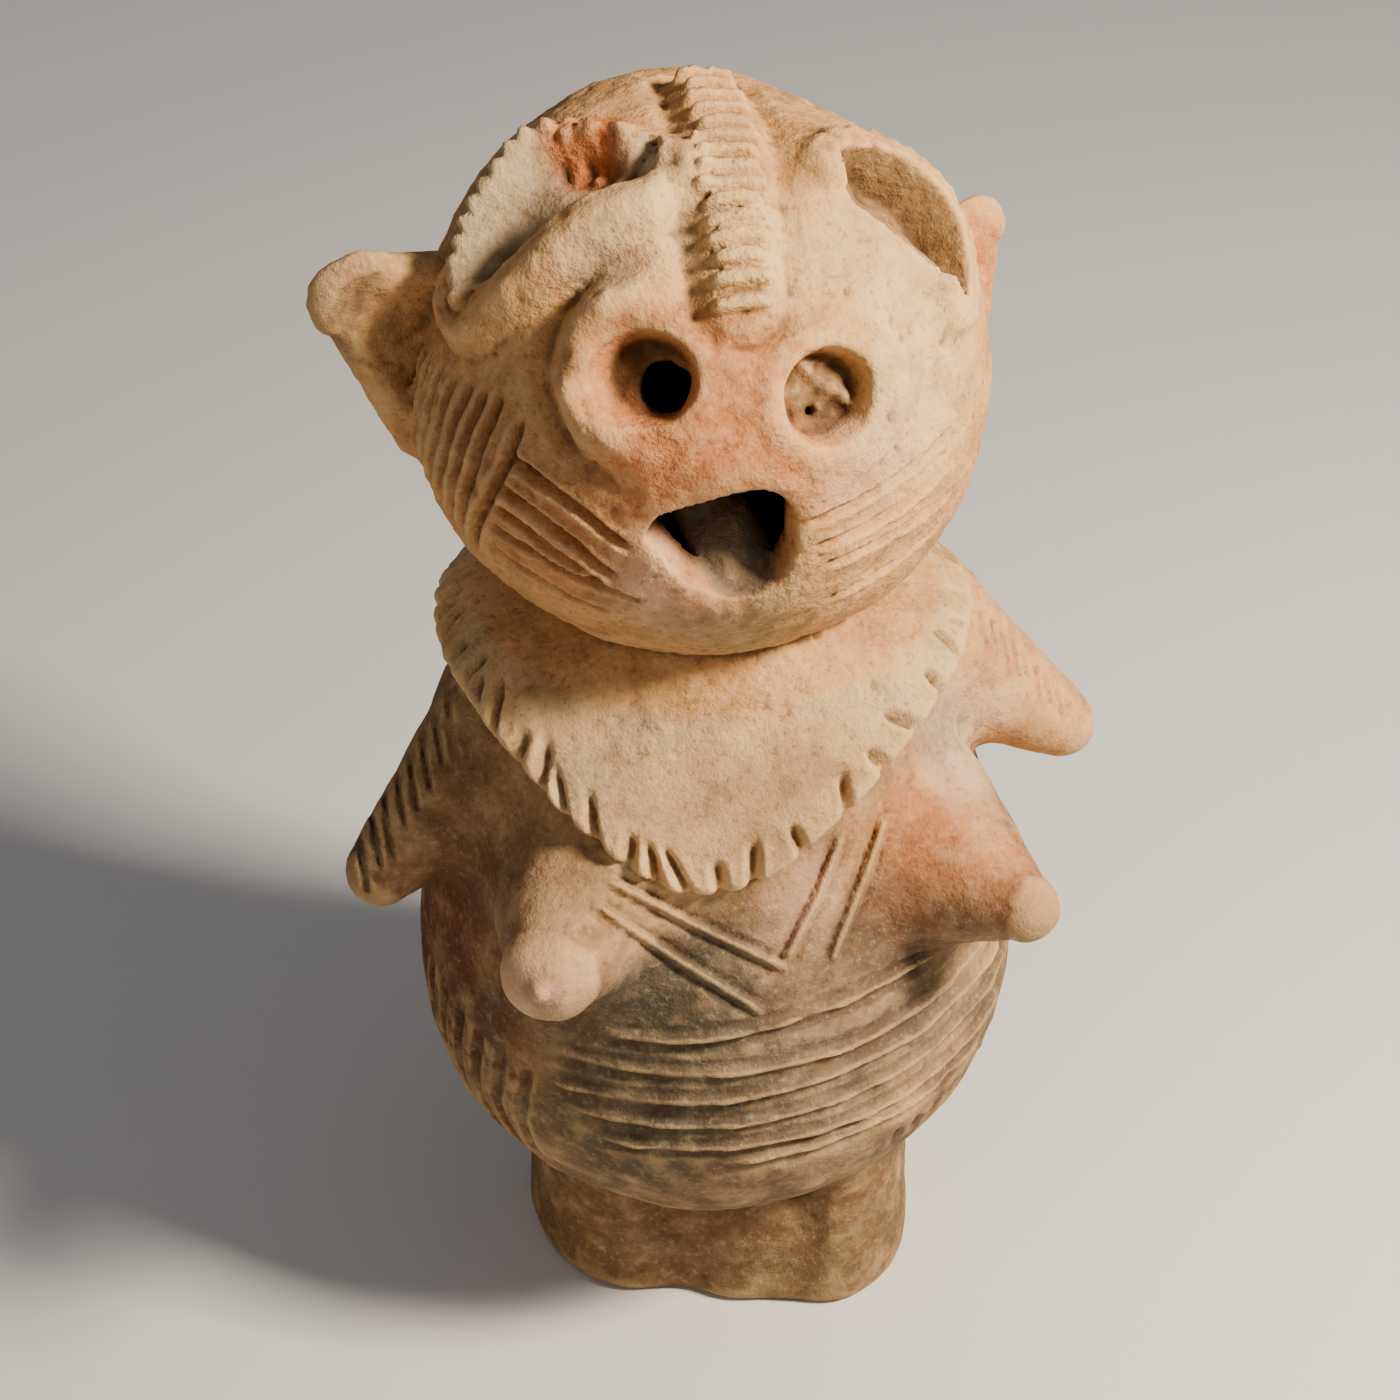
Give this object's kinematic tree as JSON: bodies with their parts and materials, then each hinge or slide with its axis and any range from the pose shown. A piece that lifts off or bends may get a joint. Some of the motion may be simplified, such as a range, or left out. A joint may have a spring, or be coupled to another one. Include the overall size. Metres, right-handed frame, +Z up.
{
  "type": "hollow terracotta ritual figure",
  "caption": "Hollow hand-built clay figure with an upturned schematic face, notched collar, stub arms, breasts, a banded belly and an open two-lobed foot.",
  "frame": {"origin": "at the underside of the foot, below the middle of the figure's bounding box", "axes": "+Z up along the figure's height, the front faces -Y, the viewer's right is +X"},
  "size_m": [0.2708, 0.2168, 0.4906],
  "materials": {
    "clay": "matt fired clay, gritty on the head, worn and stained on the body"
  },
  "bodies": {
    "root": {"terracotta_figure": "clay"}
  },
  "joints": []
}
